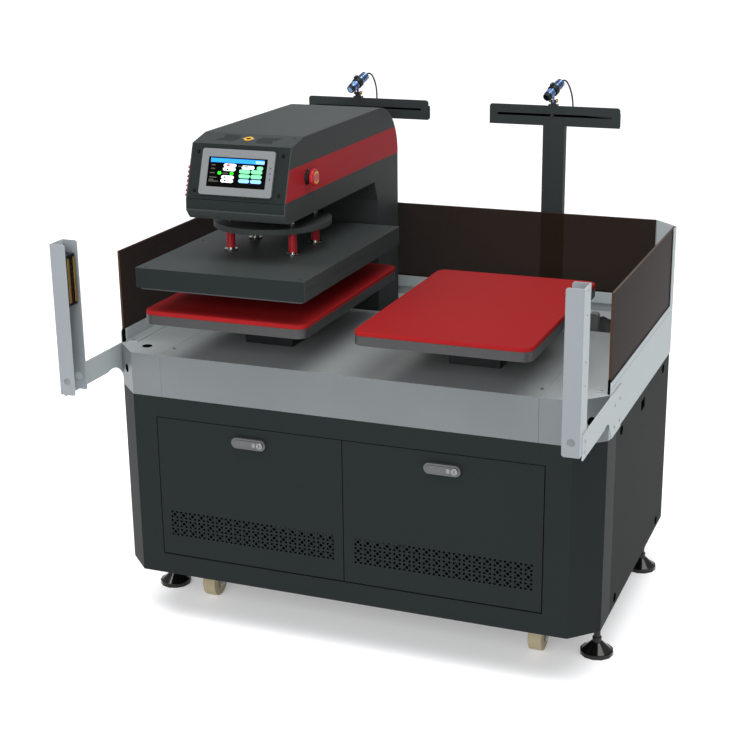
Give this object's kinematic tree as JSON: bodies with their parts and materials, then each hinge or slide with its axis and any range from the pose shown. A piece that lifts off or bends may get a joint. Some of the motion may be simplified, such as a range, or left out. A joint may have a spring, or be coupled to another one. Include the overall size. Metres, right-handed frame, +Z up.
{
  "type": "heat press",
  "caption": "Dual-station automatic heat press: a cabinet with padded lower platens, a head that slides sideways and presses a sprung hot platen, guards and a light curtain.",
  "frame": {"origin": "on the floor, under the middle of the machine's plan", "axes": "+X to the operator's right along the two stations, +Y to the back, +Z up"},
  "size_m": [1.2148, 1.1, 1.258],
  "materials": {
    "powder_grey": "dark grey-green fine powder coat",
    "brushed_top": "brushed sheet",
    "silver_paint": "light grey satin powder coat",
    "tinted_sheet": "tinted acrylic, polished",
    "platen_alu": "ground aluminium",
    "red_silicone": "satin silicone",
    "bright_steel": "polished",
    "steel": "machined",
    "black_steel": "black oxide",
    "spring_red": "red enamel",
    "black_rubber": "matte",
    "sensor_case": "gloss",
    "panel_case": "satin",
    "stop_red": "gloss",
    "nylon": "satin nylon",
    "laser_steel": "blued chrome",
    "lead_jacket": "satin",
    "inlet_black": "matte"
  },
  "bodies": {
    "machine": {"base_frame": "black_steel", "front_fascia": "powder_grey", "side_panels": "powder_grey", "rear_panel": "powder_grey", "floor_pan": "powder_grey", "deck_panels": "brushed_top", "rubber_trim": "black_rubber", "guard_frame": "silver_paint", "guard_panels": "tinted_sheet", "curtain_arms": "silver_paint", "curtain_posts": "silver_paint", "curtain_sensors": "sensor_case", "machine_screws": "steel", "platen_supports": "black_steel", "lower_platens": "platen_alu", "silicone_pads": "red_silicone", "linear_rails": "steel", "traverse_drive": "steel", "laser_masts": "powder_grey", "control_box": "silver_paint", "power_inlet": "inlet_black", "castor_mounts": "bright_steel", "laser_lead_left": "lead_jacket", "laser_lead_right": "lead_jacket"},
    "head": {"carriage": "steel", "head_frame": "black_steel", "head_sides": "powder_grey", "head_cover": "powder_grey", "head_front_panel": "powder_grey", "head_under_cover": "powder_grey", "hmi_panel": "panel_case", "head_screws": "black_steel", "estop_collar": "sensor_case", "press_actuator": "steel"},
    "ram": {"pressure_disc": "powder_grey", "press_ram": "bright_steel"},
    "hot_platen": {"platen_cover": "powder_grey", "heat_plate": "platen_alu", "spring_cups": "bright_steel", "press_springs": "spring_red"},
    "stop_button": {"estop_button": "stop_red"},
    "drive_screw": {"traverse_screw": "bright_steel"},
    "door_left": {"door_left": "powder_grey"},
    "latch_left": {"latch_left": "bright_steel"},
    "door_right": {"door_right": "powder_grey"},
    "latch_right": {"latch_right": "bright_steel"},
    "laser_clamp_left": {"laser_clamp_left": "black_steel"},
    "laser_left": {"laser_tube_left": "laser_steel"},
    "laser_clamp_right": {"laser_clamp_right": "black_steel"},
    "laser_right": {"laser_tube_right": "laser_steel"},
    "foot_front_left": {"foot_front_left": "bright_steel"},
    "foot_front_right": {"foot_front_right": "bright_steel"},
    "foot_rear_left": {"foot_rear_left": "bright_steel"},
    "foot_rear_right": {"foot_rear_right": "bright_steel"},
    "castor_wheel_front_left": {"castor_wheel_front_left": "nylon"},
    "castor_fork_front_left": {"castor_fork_front_left": "bright_steel"},
    "castor_wheel_front_right": {"castor_wheel_front_right": "nylon"},
    "castor_fork_front_right": {"castor_fork_front_right": "bright_steel"},
    "castor_wheel_rear_left": {"castor_wheel_rear_left": "nylon"},
    "castor_wheel_rear_right": {"castor_wheel_rear_right": "nylon"}
  },
  "joints": [
    {"name": "head_traverse", "type": "slide", "parent": "machine", "child": "head", "axis": [1, 0, 0], "range_m": [0, 0.516]},
    {"name": "drive_screw_turn", "type": "hinge", "parent": "machine", "child": "drive_screw", "pos_m": [0, 0.3268, 0.575], "axis": [1, 0, 0], "continuous": true},
    {"name": "press_stroke", "type": "slide", "parent": "head", "child": "ram", "axis": [0, 0, 1], "range_m": [-0.05, 0]},
    {"name": "platen_float", "type": "slide", "parent": "ram", "child": "hot_platen", "axis": [0, 0, 1], "range_m": [0, 0.006], "stiffness_N_per_m": 20000, "springref_m": -0.004, "deforming": ["press_springs"]},
    {"name": "stop_push", "type": "slide", "parent": "head", "child": "stop_button", "axis": [-1, 0, 0], "range_m": [0, 0.004], "stiffness_N_per_m": 1500, "springref_m": -0.001},
    {"name": "door_left_hinge", "type": "hinge", "parent": "machine", "child": "door_left", "pos_m": [-0.239, -0.3262, 0.192], "axis": [1, 0, 0], "range_deg": [0, 90]},
    {"name": "latch_left_turn", "type": "hinge", "parent": "door_left", "child": "latch_left", "pos_m": [-0.204, -0.3332, 0.499], "axis": [0, -1, 0], "range_deg": [0, 90]},
    {"name": "door_right_hinge", "type": "hinge", "parent": "machine", "child": "door_right", "pos_m": [0.239, -0.3262, 0.192], "axis": [1, 0, 0], "range_deg": [0, 90]},
    {"name": "latch_right_turn", "type": "hinge", "parent": "door_right", "child": "latch_right", "pos_m": [0.274, -0.3332, 0.499], "axis": [0, -1, 0], "range_deg": [0, 90]},
    {"name": "laser_left_slide", "type": "slide", "parent": "machine", "child": "laser_clamp_left", "axis": [1, 0, 0], "range_m": [-0.025, 0.025], "deforming": ["laser_lead_left"]},
    {"name": "laser_left_tilt", "type": "hinge", "parent": "laser_clamp_left", "child": "laser_left", "pos_m": [-0.289, 0.5128, 1.205], "axis": [1, 0, 0], "range_deg": [-15, 15], "deforming": ["laser_lead_left"]},
    {"name": "laser_right_slide", "type": "slide", "parent": "machine", "child": "laser_clamp_right", "axis": [1, 0, 0], "range_m": [-0.025, 0.025], "deforming": ["laser_lead_right"]},
    {"name": "laser_right_tilt", "type": "hinge", "parent": "laser_clamp_right", "child": "laser_right", "pos_m": [0.254, 0.5128, 1.205], "axis": [1, 0, 0], "range_deg": [-15, 15], "deforming": ["laser_lead_right"]},
    {"name": "foot_front_left_level", "type": "slide", "parent": "machine", "child": "foot_front_left", "axis": [0, 0, 1], "range_m": [-0.015, 0]},
    {"name": "foot_front_right_level", "type": "slide", "parent": "machine", "child": "foot_front_right", "axis": [0, 0, 1], "range_m": [-0.015, 0]},
    {"name": "foot_rear_left_level", "type": "slide", "parent": "machine", "child": "foot_rear_left", "axis": [0, 0, 1], "range_m": [-0.015, 0]},
    {"name": "foot_rear_right_level", "type": "slide", "parent": "machine", "child": "foot_rear_right", "axis": [0, 0, 1], "range_m": [-0.015, 0]},
    {"name": "castor_fork_front_left_swivel", "type": "hinge", "parent": "machine", "child": "castor_fork_front_left", "pos_m": [-0.429, -0.1932, 0.12], "axis": [0, 0, 1], "continuous": true},
    {"name": "castor_wheel_front_left_roll", "type": "hinge", "parent": "castor_fork_front_left", "child": "castor_wheel_front_left", "pos_m": [-0.429, -0.1682, 0.042], "axis": [1, 0, 0], "continuous": true},
    {"name": "castor_fork_front_right_swivel", "type": "hinge", "parent": "machine", "child": "castor_fork_front_right", "pos_m": [0.429, -0.1932, 0.12], "axis": [0, 0, 1], "continuous": true},
    {"name": "castor_wheel_front_right_roll", "type": "hinge", "parent": "castor_fork_front_right", "child": "castor_wheel_front_right", "pos_m": [0.429, -0.1682, 0.042], "axis": [1, 0, 0], "continuous": true},
    {"name": "castor_wheel_rear_left_roll", "type": "hinge", "parent": "machine", "child": "castor_wheel_rear_left", "pos_m": [-0.429, 0.3438, 0.042], "axis": [1, 0, 0], "continuous": true},
    {"name": "castor_wheel_rear_right_roll", "type": "hinge", "parent": "machine", "child": "castor_wheel_rear_right", "pos_m": [0.429, 0.3438, 0.042], "axis": [1, 0, 0], "continuous": true}
  ],
  "couplings": [
    {"joint": "drive_screw_turn", "follows": "head_traverse", "rad_per_m": 314.16}
  ]
}
